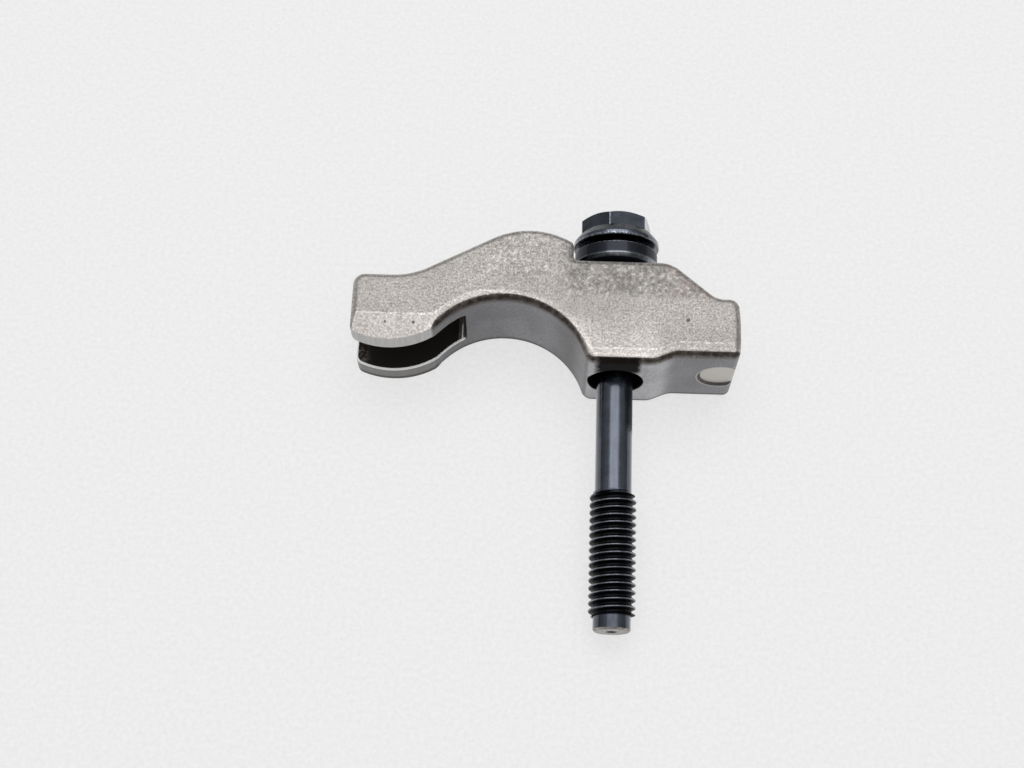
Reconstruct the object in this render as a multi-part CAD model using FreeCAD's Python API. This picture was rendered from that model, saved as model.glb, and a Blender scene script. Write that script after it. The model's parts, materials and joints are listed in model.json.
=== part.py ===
import FreeCAD, Part
import math
import os
from FreeCAD import Vector

# Fuel injector clamp, lying on its side as it was put down.
# A forged claw straddles the injector with its fork and rocks on its tail, and one waisted
# flange bolt with a loose domed washer pulls it down.
# Millimetres. X runs along the claw towards the tail, Y up the bore towards the bolt head,
# Z up from the side face it lies on. The origin is on that face, under the middle of the boss.

# Claw: overall
claw_thickness = 17.0
boss_height = 18.7
edge_round = 1.15

# Claw: fork, measured from the bore axis and down from the bolt seat
fork_reach = 44.3
fork_top_drop = 3.65
fork_top_corner = 2.0
fork_tip_corner = 1.6
rocker_reach = 38.05
rocker_radius = 13.4
rocker_drop = 15.75
heel_slope_deg = 45.0
ground_stock = 1.8
fork_relief_height = 4.6
fork_relief_depth = 0.4
forged_heel_run = 1.4
forged_heel_deg = 62.0
forged_heel_blend = 3.0
slot_width = 8.75
slot_end_reach = 25.75
slot_corner = 0.8
slot_mouth_round = 0.4

# Claw: arch and crown
arch_reach = 18.85
arch_radius = 14.2
arch_drop = 7.7
arch_foot_round = 1.8
crown_reach = 14.85
crown_radius = 13.2
crown_rise = 5.45
back_slope_deg = 29.0
back_blend = 12.0
step_reach = 7.55
step_edge_round = 0.8
step_foot_round = 0.9

# Claw: bolt seat, boss pad and tail
seat_length = 8.85
seat_edge_blend = 5.0
tail_slope_deg = 40.7
tail_top_drop = 6.5
tail_root_blend = 3.5
tail_reach = 20.0
tail_bulge = 0.3
tail_nose_round = 1.7
tail_lift = 1.5
tail_heel_round = 1.2
pad_length = 6.15
pad_slope_deg = 24.0
pad_blend = 4.0
bore_diameter = 9.0
bore_break = 0.25
seat_cone_mouth = 11.6
seat_cone_deg = 120.0
recess_reach = 17.55
recess_diameter = 7.6
recess_floor_diameter = 6.6
recess_depth = 0.4

# Bolt: M8 x 1.25 with a waisted shank and a dog point
thread_diameter = 7.8
thread_length = 21.2
thread_pitch = 1.25
thread_depth_share = 0.572
thread_land_share = 0.125
thread_flank_deg = 30.0
shank_diameter = 6.1
shoulder_length = 1.2
under_head_length = 66.4
dog_diameter = 6.15
dog_length = 2.0
dog_break = 0.3
centre_hole_diameter = 1.9
centre_hole_depth = 1.4
neck_round = 0.5
flange_diameter = 14.8
flange_rim = 0.9
flange_rim_round = 0.25
flange_crown_diameter = 12.6
flange_height = 2.3
hex_across_flats = 11.0
hex_across_corners = 12.6
hex_height = 3.0
hex_top_share = 0.92
hex_chamfer_deg = 30.0
hex_turn_deg = -13.5

# Washer: loose on the shank, domed underneath
washer_diameter = 14.2
washer_rim = 2.3
washer_break = 0.45
washer_dome_radius = 9.0
washer_foot_diameter = 8.6
washer_clearance = 0.18

# How the bolt lies in the claw
head_gap = 0.95
seat_gap = 2.65
shank_clearance = 0.06

# How far a cutter stands past what it cuts, how close an edge must lie to the place where it is
# looked for, and how long it must be to be more than a corner's edge
overrun = 3.0
near = 0.01
corner_edge = 1.5

seat_y = boss_height / 2
boss_foot_y = -boss_height / 2
mid_z = claw_thickness / 2
bore_radius = bore_diameter / 2
shank_radius = shank_diameter / 2
thread_radius = thread_diameter / 2
rocker_low_y = seat_y - rocker_drop
thread_end = under_head_length - dog_length
flange_y = seat_y + seat_gap + washer_rim + head_gap


def line_meeting_circle(start, direction, centre, radius):
    """The first point where a line, followed along its direction, meets a circle."""
    along = (centre - start).dot(direction)
    aside = (start + direction * along - centre).Length
    return start + direction * (along - math.sqrt(radius ** 2 - aside ** 2))


def arc_edge(start, middle, end):
    return Part.Arc(start, middle, end).toShape()


def line_edge(start, end):
    return Part.LineSegment(start, end).toShape()


def on_arch(degrees):
    """Point on the arch, this far round from its top towards the fork."""
    turn = math.radians(degrees)
    centre = Vector(-arch_reach, seat_y - arch_drop - arch_radius, 0)
    return centre + Vector(-math.sin(turn), math.cos(turn), 0) * arch_radius


def claw_corners():
    """The forged outline's corner points before they are rounded, in the plane z = 0."""
    crown_centre = Vector(-crown_reach, seat_y + crown_rise - crown_radius, 0)
    arch_low = arch_radius - (seat_y - arch_drop - boss_foot_y)
    foot_run = math.sqrt(arch_radius ** 2 - arch_low ** 2)
    step_rise = math.sqrt(crown_radius ** 2 - (crown_reach - step_reach) ** 2)
    slope = math.radians(back_slope_deg)
    tangent = crown_centre + Vector(-math.sin(slope), math.cos(slope), 0) * crown_radius
    fork_top_y = seat_y - fork_top_drop
    back_run = (tangent.y - fork_top_y) / math.tan(slope)
    stock_y = rocker_low_y - ground_stock
    heel_slope = math.radians(heel_slope_deg)
    heel_tangent = on_arch(heel_slope_deg)
    run_out = heel_tangent - Vector(math.cos(heel_slope), math.sin(heel_slope), 0) * forged_heel_run
    heel_run = (run_out.y - stock_y) / math.tan(math.radians(forged_heel_deg))
    tail_y = seat_y - tail_top_drop
    tail_foot_y = boss_foot_y + tail_lift
    tail_run = tail_top_drop / math.tan(math.radians(tail_slope_deg))
    pad_run = tail_lift / math.tan(math.radians(pad_slope_deg))
    return {
        "tip_low": Vector(-fork_reach, stock_y, 0),
        "heel": Vector(run_out.x - heel_run, stock_y, 0),
        "run_out": run_out,
        "heel_tangent": heel_tangent,
        "arch_top": on_arch(0),
        "arch_foot": Vector(foot_run - arch_reach, boss_foot_y, 0),
        "pad_end": Vector(pad_length, boss_foot_y, 0),
        "tail_start": Vector(pad_length + pad_run, tail_foot_y, 0),
        "tail_heel": Vector(tail_reach, tail_foot_y, 0),
        "tail_middle": Vector(tail_reach + tail_bulge, (tail_y + tail_foot_y) / 2, 0),
        "tail_nose": Vector(tail_reach, tail_y, 0),
        "tail_root": Vector(seat_length + tail_run, tail_y, 0),
        "seat_edge": Vector(seat_length, seat_y, 0),
        "step_foot": Vector(-step_reach, seat_y, 0),
        "step_edge": Vector(-step_reach, crown_centre.y + step_rise, 0),
        "crown_top": crown_centre + Vector(0, crown_radius, 0),
        "back_start": tangent,
        "back_foot": Vector(tangent.x - back_run, fork_top_y, 0),
        "tip_top": Vector(-fork_reach, fork_top_y, 0),
    }


def claw_outline(at):
    """Side outline of the forging as straight runs and true arcs."""
    return Part.Wire([
        line_edge(at["tip_low"], at["heel"]),
        line_edge(at["heel"], at["run_out"]),
        line_edge(at["run_out"], at["heel_tangent"]),
        arc_edge(at["heel_tangent"], at["arch_top"], at["arch_foot"]),
        line_edge(at["arch_foot"], at["pad_end"]),
        line_edge(at["pad_end"], at["tail_start"]),
        line_edge(at["tail_start"], at["tail_heel"]),
        arc_edge(at["tail_heel"], at["tail_middle"], at["tail_nose"]),
        line_edge(at["tail_nose"], at["tail_root"]),
        line_edge(at["tail_root"], at["seat_edge"]),
        line_edge(at["seat_edge"], at["step_foot"]),
        line_edge(at["step_foot"], at["step_edge"]),
        arc_edge(at["step_edge"], at["crown_top"], at["back_start"]),
        line_edge(at["back_start"], at["back_foot"]),
        line_edge(at["back_foot"], at["tip_top"]),
        line_edge(at["tip_top"], at["tip_low"]),
    ])


def grinding():
    """What is ground off under the fork, to its rocker and heel, with crisp edges."""
    skim = 0.02
    slope = math.radians(heel_slope_deg)
    direction = Vector(math.cos(slope), math.sin(slope), 0)
    down = Vector(0, -skim, 0)
    rocker_centre = Vector(-rocker_reach, rocker_low_y + rocker_radius, 0)
    tip_rise = math.sqrt(rocker_radius ** 2 - (fork_reach - rocker_reach) ** 2)
    tip = Vector(-fork_reach, rocker_centre.y - tip_rise, 0)
    rocker_low = rocker_centre - Vector(0, rocker_radius, 0)
    tangent = on_arch(heel_slope_deg) + down
    heel = line_meeting_circle(tangent, direction, rocker_centre, rocker_radius)
    arch_end = on_arch(0) + down
    low_y = rocker_low_y - ground_stock - overrun
    outside_x = -fork_reach - overrun
    face = Part.Face(Part.Wire([
        arc_edge(tip, rocker_low, heel),
        line_edge(heel, tangent),
        arc_edge(tangent, on_arch(heel_slope_deg / 2) + down, arch_end),
        line_edge(arch_end, Vector(arch_end.x, low_y, 0)),
        line_edge(Vector(arch_end.x, low_y, 0), Vector(outside_x, low_y, 0)),
        line_edge(Vector(outside_x, low_y, 0), Vector(outside_x, seat_y, 0)),
        line_edge(Vector(outside_x, seat_y, 0), Vector(-fork_reach, seat_y, 0)),
        line_edge(Vector(-fork_reach, seat_y, 0), tip),
    ]))
    block = face.extrude(Vector(0, 0, claw_thickness + 2 * overrun))
    block = block.makeFillet(fork_tip_corner, [upright_edge_at(block, tip)])
    block.translate(Vector(0, 0, -overrun))
    return block


def fork_relief():
    """The shallow slope that thins both prongs towards the rocker."""
    top_y = rocker_low_y + fork_relief_height
    low_y = rocker_low_y - ground_stock - overrun
    low_depth = fork_relief_depth * (top_y - low_y) / fork_relief_height
    start_x = -fork_reach - overrun
    corners = [(top_y, 0), (low_y, low_depth), (low_y, -overrun), (top_y, -overrun)]
    under = [Vector(start_x, y, z) for y, z in corners]
    over = [Vector(start_x, y, claw_thickness - z) for y, z in corners]
    along = Vector(-arch_reach - start_x, 0, 0)
    wedges = [Part.Face(Part.makePolygon(side + [side[0]])).extrude(along) for side in (under, over)]
    return Part.makeCompound(wedges)


def upright_edge_at(shape, point):
    """The edge that stands on the outline at this corner point."""
    for edge in shape.Edges:
        ends = [vertex.Point for vertex in edge.Vertexes]
        if len(ends) == 2 and all(math.hypot(end.x - point.x, end.y - point.y) < near for end in ends):
            return edge
    raise ValueError("no upright edge at this corner")


def round_corners(shape, at):
    """Rounds each corner of the outline by its own radius."""
    radii = {
        "run_out": forged_heel_blend,
        "arch_foot": arch_foot_round,
        "pad_end": pad_blend,
        "tail_start": pad_blend,
        "tail_heel": tail_heel_round,
        "tail_nose": tail_nose_round,
        "tail_root": tail_root_blend,
        "seat_edge": seat_edge_blend,
        "step_foot": step_foot_round,
        "step_edge": step_edge_round,
        "back_foot": back_blend,
        "tip_top": fork_top_corner,
    }
    for name, radius in radii.items():
        shape = shape.makeFillet(radius, [upright_edge_at(shape, at[name])])
    return shape


def side_edges(shape):
    """Edges that bound the two side faces."""
    found = []
    for edge in shape.Edges:
        box = edge.BoundBox
        level = box.ZLength < near
        if level and (abs(box.ZMin) < near or abs(box.ZMin - claw_thickness) < near):
            found.append(edge)
    return found


def fork_slot():
    """The slot between the prongs, with rounded inner corners."""
    length = fork_reach + overrun - slot_end_reach
    depth = seat_y + crown_rise - boss_foot_y + 2 * overrun
    slot = Part.makeBox(length, depth, slot_width)
    slot.translate(Vector(-fork_reach - overrun, boss_foot_y - overrun, mid_z - slot_width / 2))
    inner = [edge for edge in slot.Edges
             if abs(edge.BoundBox.XMin + slot_end_reach) < near and edge.BoundBox.YLength > slot_width]
    return slot.makeFillet(slot_corner, inner)


def round_slot_mouth(claw):
    """Small round where the slot comes out through the rocker, the heel and the arch."""
    found = []
    for edge in claw.Edges:
        box = edge.BoundBox
        middle = edge.valueAt((edge.FirstParameter + edge.LastParameter) / 2)
        on_wall = box.ZLength < near and abs(abs(box.ZMin - mid_z) - slot_width / 2) < near
        if on_wall and box.XLength > corner_edge and middle.y < seat_y - arch_drop:
            found.append(edge)
    return claw.makeFillet(slot_mouth_round, found)


def turned(profile, axis_point, axis):
    """A solid turned from a closed profile of corner points."""
    face = Part.Face(Part.makePolygon(profile + [profile[0]]))
    return face.revolve(axis_point, axis, 360)


def bolt_hole():
    """The bore with its broken lower edge and the cone that the washer's dome sits in."""
    cone_run = (seat_cone_mouth / 2 - bore_radius) / math.tan(math.radians(seat_cone_deg / 2))
    profile = [
        Vector(0, boss_foot_y - overrun, mid_z),
        Vector(bore_radius + bore_break, boss_foot_y - overrun, mid_z),
        Vector(bore_radius + bore_break, boss_foot_y, mid_z),
        Vector(bore_radius, boss_foot_y + bore_break, mid_z),
        Vector(bore_radius, seat_y - cone_run, mid_z),
        Vector(seat_cone_mouth / 2, seat_y, mid_z),
        Vector(seat_cone_mouth / 2, seat_y + overrun, mid_z),
        Vector(0, seat_y + overrun, mid_z),
    ]
    return turned(profile, Vector(0, 0, mid_z), Vector(0, 1, 0))


def tail_recess():
    """Round bevelled dish under the tail, which the tail's end cuts open."""
    face_y = boss_foot_y + tail_lift
    centre = Vector(recess_reach, face_y, mid_z)
    profile = [
        centre + Vector(0, -overrun, 0),
        centre + Vector(recess_diameter / 2, -overrun, 0),
        centre + Vector(recess_diameter / 2, 0, 0),
        centre + Vector(recess_floor_diameter / 2, recess_depth, 0),
        centre + Vector(0, recess_depth, 0),
    ]
    return turned(profile, centre, Vector(0, 1, 0))


def make_claw():
    at = claw_corners()
    claw = Part.Face(claw_outline(at)).extrude(Vector(0, 0, claw_thickness))
    claw = round_corners(claw, at)
    claw = claw.makeFillet(edge_round, side_edges(claw))
    claw = claw.cut(grinding())
    claw = claw.cut(fork_relief())
    claw = round_slot_mouth(claw.cut(fork_slot()))
    claw = claw.cut(bolt_hole())
    claw = claw.cut(tail_recess())
    return claw


def make_head():
    """Hexagon on a flange, turned down at its corners and chamfered on top."""
    flange = turned([
        Vector(0, 0, 0),
        Vector(flange_diameter / 2, 0, 0),
        Vector(flange_diameter / 2, flange_rim, 0),
        Vector(flange_crown_diameter / 2, flange_height, 0),
        Vector(0, flange_height, 0),
    ], Vector(0, 0, 0), Vector(0, 1, 0))
    rim = [edge for edge in flange.Edges
           if isinstance(edge.Curve, Part.Circle) and abs(edge.Curve.Radius - flange_diameter / 2) < near]
    flange = flange.makeFillet(flange_rim_round, rim)
    corner_radius = hex_across_flats / math.sqrt(3)
    top_radius = hex_across_flats / 2 * hex_top_share
    top_y = flange_height + hex_height
    corners = []
    for count in range(6):
        angle = math.radians(hex_turn_deg + 60 * count)
        corners.append(Vector(corner_radius * math.sin(angle), 0, corner_radius * math.cos(angle)))
    hexagon = Part.Face(Part.makePolygon(corners + [corners[0]])).extrude(Vector(0, top_y, 0))
    drop = (hex_across_corners / 2 - top_radius) * math.tan(math.radians(hex_chamfer_deg))
    turning = turned([
        Vector(0, 0, 0),
        Vector(hex_across_corners / 2, 0, 0),
        Vector(hex_across_corners / 2, top_y - drop, 0),
        Vector(top_radius, top_y, 0),
        Vector(0, top_y, 0),
    ], Vector(0, 0, 0), Vector(0, 1, 0))
    return flange.fuse(hexagon.common(turning))


def thread_groove():
    """The right-hand groove between the thread's crests, swept along its helix past both ends."""
    depth = thread_depth_share * thread_pitch
    root_radius = thread_radius - depth
    slope = math.tan(math.radians(thread_flank_deg))
    floor = thread_pitch * (1 - thread_land_share) - 2 * depth * slope
    past = depth / 2
    mouth = floor + 2 * (depth + past) * slope
    start = -thread_end - thread_pitch
    section = [
        Vector(root_radius, 0, start - floor / 2),
        Vector(root_radius, 0, start + floor / 2),
        Vector(thread_radius + past, 0, start + mouth / 2),
        Vector(thread_radius + past, 0, start - mouth / 2),
    ]
    helix = Part.makeLongHelix(thread_pitch, thread_length + 2 * thread_pitch, root_radius, 0, False)
    helix.translate(Vector(0, 0, start))
    path = Part.Wire(helix.Edges)
    groove = path.makePipeShell([Part.makePolygon(section + [section[0]])], True, True)
    groove.rotate(Vector(0, 0, 0), Vector(1, 0, 0), -90)
    return groove


def make_bolt():
    """Bolt with its flange underside at the origin and its shank down the minus Y axis."""
    thread_start = thread_end - thread_length
    dog_step = thread_radius - dog_diameter / 2
    shank = turned([
        Vector(0, 0, 0),
        Vector(shank_radius, 0, 0),
        Vector(shank_radius, -thread_start, 0),
        Vector(thread_radius, -thread_start - shoulder_length, 0),
        Vector(thread_radius, -thread_end + dog_step, 0),
        Vector(dog_diameter / 2, -thread_end, 0),
        Vector(dog_diameter / 2, -under_head_length + dog_break, 0),
        Vector(dog_diameter / 2 - dog_break, -under_head_length, 0),
        Vector(0, -under_head_length, 0),
    ], Vector(0, 0, 0), Vector(0, 1, 0))
    bolt = make_head().fuse(shank).removeSplitter()
    neck = [edge for edge in bolt.Edges
            if isinstance(edge.Curve, Part.Circle) and abs(edge.Curve.Radius - shank_radius) < near
            and abs(edge.Curve.Center.y) < near]
    bolt = bolt.makeFillet(neck_round, neck)
    centre_hole = turned([
        Vector(0, -under_head_length, 0),
        Vector(centre_hole_diameter / 2, -under_head_length, 0),
        Vector(0, -under_head_length + centre_hole_depth, 0),
    ], Vector(0, 0, 0), Vector(0, 1, 0))
    return bolt.cut(centre_hole).cut(thread_groove())


def make_washer():
    """Washer on the same axis as the bolt, with its flat top a small gap under the flange."""
    top_y = -head_gap
    low_y = top_y - washer_rim
    hole_radius = shank_radius + washer_clearance
    dome_edge = washer_diameter / 2 - washer_break
    centre_y = low_y - washer_break + math.sqrt(washer_dome_radius ** 2 - dome_edge ** 2)
    foot_radius = washer_foot_diameter / 2
    foot_y = centre_y - math.sqrt(washer_dome_radius ** 2 - foot_radius ** 2)
    middle_radius = (dome_edge + foot_radius) / 2
    middle_y = centre_y - math.sqrt(washer_dome_radius ** 2 - middle_radius ** 2)
    top_break = washer_break / 2
    points = [
        Vector(hole_radius, foot_y, 0),
        Vector(hole_radius, top_y, 0),
        Vector(washer_diameter / 2 - top_break, top_y, 0),
        Vector(washer_diameter / 2, top_y - top_break, 0),
        Vector(washer_diameter / 2, low_y, 0),
        Vector(dome_edge, low_y - washer_break, 0),
    ]
    edges = [line_edge(start, end) for start, end in zip(points, points[1:])]
    edges.append(arc_edge(points[-1], Vector(middle_radius, middle_y, 0), Vector(foot_radius, foot_y, 0)))
    edges.append(line_edge(Vector(foot_radius, foot_y, 0), points[0]))
    return Part.Face(Part.Wire(edges)).revolve(Vector(0, 0, 0), Vector(0, 1, 0), 360)


def lying_placement():
    """The bolt lies on the bore's lower edge and on the end of its thread."""
    rest_length = thread_end - (thread_radius - dog_diameter / 2)
    edge_z = mid_z - bore_radius + shank_clearance + shank_radius
    dip = 0.0
    for _ in range(8):
        thread_z = thread_radius * math.cos(dip)
        run = (boss_foot_y + bore_break) - (flange_y - rest_length * math.cos(dip))
        dip = math.atan2(edge_z - thread_z, run)
    head_z = thread_radius * math.cos(dip) + rest_length * math.sin(dip)
    turn = FreeCAD.Rotation(Vector(1, 0, 0), math.degrees(dip))
    return FreeCAD.Placement(Vector(0, flange_y, head_z), turn)


def main():
    os.makedirs("parts", exist_ok=True)
    lying = lying_placement()
    bolt = make_bolt()
    bolt.Placement = lying
    washer = make_washer()
    washer.Placement = lying
    for name, shape in (("clamp", make_claw()), ("bolt", bolt), ("washer", washer)):
        shape.exportStep("parts/" + name + ".step")
        box = shape.BoundBox
        print(name, shape.isValid(), round(shape.Volume, 1),
              [round(value, 3) for value in (box.XMin, box.XMax, box.YMin, box.YMax, box.ZMin, box.ZMax)])
    print("dip in degrees", round(math.degrees(lying.Rotation.Angle), 3), "head at", lying.Base)


main()
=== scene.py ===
import json
import math
from types import SimpleNamespace

import bpy
from mathutils import Matrix, Vector


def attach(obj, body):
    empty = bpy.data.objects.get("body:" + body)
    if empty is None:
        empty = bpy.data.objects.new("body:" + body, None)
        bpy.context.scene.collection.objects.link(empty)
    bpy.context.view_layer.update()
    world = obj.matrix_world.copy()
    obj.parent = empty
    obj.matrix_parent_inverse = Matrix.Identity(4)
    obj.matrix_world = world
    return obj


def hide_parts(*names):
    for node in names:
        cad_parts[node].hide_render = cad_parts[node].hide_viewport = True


bl_info = {
    "name": "Fuel injector clamp",
    "version": (1, 0, 0),
    "blender": (4, 5, 0),
    "location": "View3D > Sidebar > Clamp",
    "description": "Dresses a forged claw, its waisted flange bolt and its domed washer",
    "category": "Object",
}

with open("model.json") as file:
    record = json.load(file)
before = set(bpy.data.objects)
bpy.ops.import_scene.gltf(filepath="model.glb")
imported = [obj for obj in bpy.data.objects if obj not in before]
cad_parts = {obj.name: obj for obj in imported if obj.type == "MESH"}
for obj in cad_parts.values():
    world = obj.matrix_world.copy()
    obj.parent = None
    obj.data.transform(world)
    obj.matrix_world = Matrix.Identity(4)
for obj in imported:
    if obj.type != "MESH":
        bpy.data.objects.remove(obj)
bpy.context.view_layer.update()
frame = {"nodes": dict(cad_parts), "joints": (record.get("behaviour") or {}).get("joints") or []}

# The bolt's own axis, from the joint that it turns on: the joint's place is the flange's underside
BOLT_JOINT = next(joint for joint in frame["joints"] if joint["name"] == "bolt_turn")
FLANGE_CENTRE = Vector(BOLT_JOINT["pos_m"])
BOLT_AXIS = Vector(BOLT_JOINT["axis"]).normalized()

# The claw's form in millimetres: its middle plane, its arch, and its bore
CLAW_MIDDLE = 8.5
ARCH_CENTRE = (-18.85, -12.55, 0.0)
ARCH_RADIUS = 14.2
BORE_RADIUS = 4.5

# The dish under the tail in millimetres: its middle, and the radii of its floor and its rim
DISH_REACH = 17.55
DISH_FLOOR = 3.3
DISH_RIM = 3.8

# The slot in millimetres: where its grease and painted shade end, and the height of its lower mouth edge
SLOT_END = -25.4
LOWER_MOUTH = 3.95

# Small pits in the upper side, in millimetres: place along and across, and radius
PITS = ((-38.4, -3.4, 0.22), (-33.8, -3.4, 0.26), (11.5, -1.6, 0.3))

# Small sizes of the bolt's end in metres: the point's chamfer, and the centre hole
POINT_CHAMFER = 0.0003
HOLE_RADIUS = 0.00095
HOLE_DEPTH = 0.0014

# Roundings of the turned body in metres: the flange's rim above and below, and under the head
RIM_TOP_ROUND = 0.0002
RIM_FOOT_ROUND = 0.00022
HEAD_FILLET = 0.0005

# How far the body's core lies inside the thread's roots, so that the two join cleanly
CORE_CLEARANCE = 0.00012

# Steps round a turned skin, round the hexagon's turned corners, and round one turn of the thread
TURNED_STEPS = 112
CORNER_STEPS = 336
THREAD_STEPS = 56

# Edges that bend less than this are smooth on the bolt
SMOOTH_ANGLE = math.radians(28)

# The camera's place and aim in metres, and its lens in millimetres
CAMERA_PLACE = (-0.01385, -0.11327, 0.24541)
CAMERA_AIM = (-0.01739, -0.00662, 0.0)
CAMERA_LENS = 54.14

# Surface patterns are worked out in millimetres
MILLIMETRES = 1000.0

# Sockets of a Mix node that mixes colours: its two inputs, and its output
COLOUR_A = 6
COLOUR_B = 7
MIXED = 2


class ClawFinish(bpy.types.PropertyGroup):
    """Finish of the forged claw."""

    light_grain: bpy.props.StringProperty(
        name="Light grain", description="sRGB colour of the bright grains", default="#A8A4A0")
    dark_grain: bpy.props.StringProperty(
        name="Dark grain", description="sRGB colour of the dull grains", default="#7C7875")
    # The scale colour also paints the dark reflection on edges facing -Y and the contact shade along the
    # lower edge
    scale_and_shade_colour: bpy.props.StringProperty(
        name="Forging scale", description="sRGB colour of the scale left on the edges", default="#3B322C")
    wall_colour: bpy.props.StringProperty(
        name="Wall", description="sRGB colour of the smooth walls", default="#8A8A8D")
    ground_colour: bpy.props.StringProperty(
        name="Ground steel", description="sRGB colour of the ground rocker and heel", default="#B9B8B6")
    # The grease colour also paints the shade inside the bore and on the wall above it
    grease: bpy.props.StringProperty(
        name="Grease", description="sRGB colour of the old grease in the bore", default="#141210")
    # The slot's grease colour also paints the shade inside the slot
    slot_grease_and_shade: bpy.props.StringProperty(
        name="Slot grease", description="sRGB colour of the dried grease in the slot", default="#24211E")
    side_metal: bpy.props.FloatProperty(
        name="Clean metal on the sides", description="Share of bare metal between scale and dirt",
        default=0.7, min=0.0, max=1.0)
    wall_metal: bpy.props.FloatProperty(
        name="Clean metal on the walls", description="Share of bare metal on the smoother walls",
        default=0.85, min=0.0, max=1.0)
    grain_size: bpy.props.FloatProperty(
        name="Grain size", description="Width of one grain of the surface", default=0.00034,
        unit="LENGTH", precision=5)


class BoltShape(bpy.types.PropertyGroup):
    """Sizes of the waisted flange bolt."""

    flange_diameter: bpy.props.FloatProperty(
        name="Flange diameter", description="Outer diameter of the flange", default=0.0148,
        unit="LENGTH", precision=5)
    flange_rim: bpy.props.FloatProperty(
        name="Flange rim", description="Height of the flange's upright rim", default=0.0009,
        unit="LENGTH", precision=5)
    flange_crown_diameter: bpy.props.FloatProperty(
        name="Crown diameter", description="Diameter at the top of the flange's slope", default=0.0126,
        unit="LENGTH", precision=5)
    flange_height: bpy.props.FloatProperty(
        name="Flange height", description="Height of the flange under the hexagon", default=0.0023,
        unit="LENGTH", precision=5)
    across_flats: bpy.props.FloatProperty(
        name="Across flats", description="Width of the hexagon", default=0.011, unit="LENGTH", precision=5)
    across_corners: bpy.props.FloatProperty(
        name="Across corners", description="Diameter that the hexagon's corners are turned down to",
        default=0.0126, unit="LENGTH", precision=5)
    top_diameter: bpy.props.FloatProperty(
        name="Top diameter", description="Diameter where the chamfer meets the top", default=0.01012,
        unit="LENGTH", precision=5)
    hex_height: bpy.props.FloatProperty(
        name="Hexagon height", description="Height of the hexagon over the flange", default=0.003,
        unit="LENGTH", precision=5)
    hex_turn: bpy.props.FloatProperty(
        name="Hexagon turn", description="How far the hexagon is turned", default=math.radians(-13.5),
        subtype="ANGLE")
    shank_diameter: bpy.props.FloatProperty(
        name="Shank diameter", description="Diameter of the waisted shank", default=0.0061,
        unit="LENGTH", precision=5)
    length: bpy.props.FloatProperty(
        name="Length", description="Length from the flange to the point", default=0.0664,
        unit="LENGTH", precision=5)
    thread_length: bpy.props.FloatProperty(
        name="Thread length", description="Length of the thread with its shoulder", default=0.0212,
        unit="LENGTH", precision=5)
    shoulder_length: bpy.props.FloatProperty(
        name="Shoulder length", description="Length of the cone where the thread starts", default=0.0012,
        unit="LENGTH", precision=5)
    pitch: bpy.props.FloatProperty(
        name="Pitch", description="Distance from one crest to the next", default=0.00125,
        unit="LENGTH", precision=5)
    crest_diameter: bpy.props.FloatProperty(
        name="Crest diameter", description="Outer diameter of the thread", default=0.00778,
        unit="LENGTH", precision=5)
    root_diameter: bpy.props.FloatProperty(
        name="Root diameter", description="Diameter at the bottom of the thread", default=0.00637,
        unit="LENGTH", precision=5)
    dog_diameter: bpy.props.FloatProperty(
        name="Point diameter", description="Diameter of the point behind the thread", default=0.00615,
        unit="LENGTH", precision=5)
    dog_length: bpy.props.FloatProperty(
        name="Point length", description="Length of the point", default=0.002, unit="LENGTH", precision=5)


class SteelFinish(bpy.types.PropertyGroup):
    """Finish of the blackened bolt and washer."""

    oxide: bpy.props.StringProperty(
        name="Black oxide", description="sRGB colour of the blackened steel", default="#3F4551")
    # The groove colour paints oil with shade in the thread's roots and under the washer, and the darker
    # washer rim
    groove: bpy.props.StringProperty(
        name="Groove", description="sRGB colour of the oily grooves", default="#0E1014")
    # The worn colour also paints highlights on the crests and on the washer's and flange's edges
    worn: bpy.props.StringProperty(
        name="Worn edge", description="sRGB colour where handling has worn the black off",
        default="#9A9FA7")
    # The corners' colour paints their highlight together with wear
    corner_wear_and_highlight: bpy.props.StringProperty(
        name="Worn corner", description="sRGB colour of the hexagon's rubbed corners", default="#767B84")
    cut_end: bpy.props.StringProperty(
        name="Cut end", description="sRGB colour of the bolt's end face", default="#A9A59F")


class StageLook(bpy.types.PropertyGroup):
    """Floor, light and camera."""

    floor: bpy.props.StringProperty(
        name="Floor", description="sRGB colour of the floor", default="#F0F0F0")
    floor_glow: bpy.props.FloatProperty(
        name="Floor glow", description="Brightness of the floor's own pale light", default=1.0, min=0.0)
    floor_share: bpy.props.FloatProperty(
        name="Floor glow share", description="How much of the floor's look is its own light",
        default=0.8, min=0.0, max=1.0)
    horizon: bpy.props.FloatProperty(
        name="Low light", description="Radiance of the room at the horizon", default=0.20, min=0.0)
    sky: bpy.props.FloatProperty(
        name="High light", description="Radiance of the room overhead", default=0.55, min=0.0)
    key: bpy.props.FloatProperty(
        name="Soft box", description="Radiance of the soft box over the back", default=1.75, min=0.0)
    top: bpy.props.FloatProperty(
        name="Overhead", description="Radiance of the wide overhead panel", default=0.75, min=0.0)


def linear(code):
    """Linear colour of an sRGB hex code, with full alpha."""
    parts = [int(code[at:at + 2], 16) / 255 for at in (1, 3, 5)]
    straight = [part / 12.92 if part <= 0.04045 else ((part + 0.055) / 1.055) ** 2.4 for part in parts]
    return (*straight, 1.0)


def add(tree, kind, *inputs, named=None, **settings):
    """Adds a node with its settings; each input is a value, a node or socket to link, or None."""
    made = tree.nodes.new(kind)
    for name, value in settings.items():
        setattr(made, name, value)
    given = list(zip(made.inputs, inputs))
    given += [(made.inputs[name], value) for name, value in (named or {}).items()]
    for socket, value in given:
        if isinstance(value, bpy.types.Node):
            value = value.outputs[0]
        if isinstance(value, bpy.types.NodeSocket):
            tree.links.new(value, socket)
        elif value is not None:
            socket.default_value = value
    return made


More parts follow.
